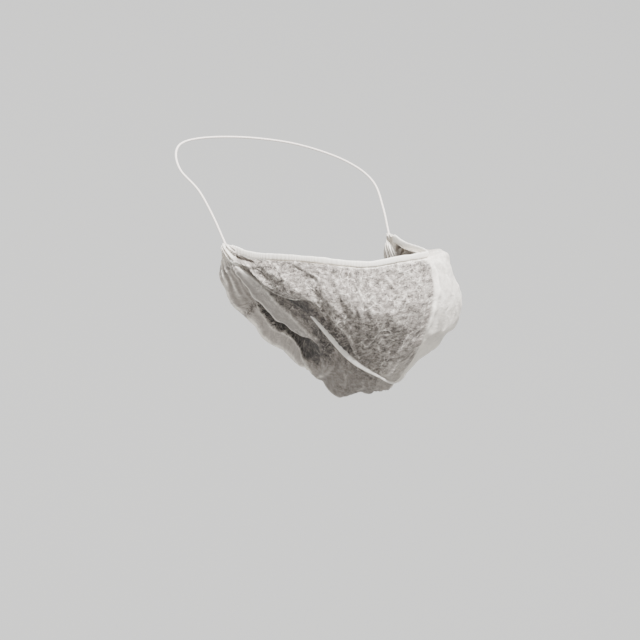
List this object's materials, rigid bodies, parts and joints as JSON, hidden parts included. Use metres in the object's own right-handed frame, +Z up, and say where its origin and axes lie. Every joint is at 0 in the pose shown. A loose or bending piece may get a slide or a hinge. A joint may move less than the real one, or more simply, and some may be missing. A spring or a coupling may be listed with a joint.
{
  "type": "disposable beard net",
  "caption": "Worn disposable beard net: gathered nonwoven pouch over cheeks and chin with a jaw band, a ruffle below and one thin elastic round the back of the head.",
  "frame": {"origin": "midway between the two gathered ends, which sit in front of the wearer's ears", "axes": "+Z up, the wearer looks along -Y, +X to the wearer's left"},
  "size_m": [0.1594, 0.233, 0.1729],
  "materials": {
    "net_cloth": "thin translucent white spunbond nonwoven, matt",
    "band_cloth": "white nonwoven folded over flat elastic, soft sheen",
    "covered_elastic": "thin round elastic in a white yarn cover"
  },
  "bodies": {
    "root": {"pouch": "net_cloth", "chin_skirt": "net_cloth", "upper_band": "band_cloth", "lower_band": "band_cloth", "gather_right": "band_cloth", "gather_left": "band_cloth", "head_elastic": "covered_elastic"}
  },
  "joints": []
}
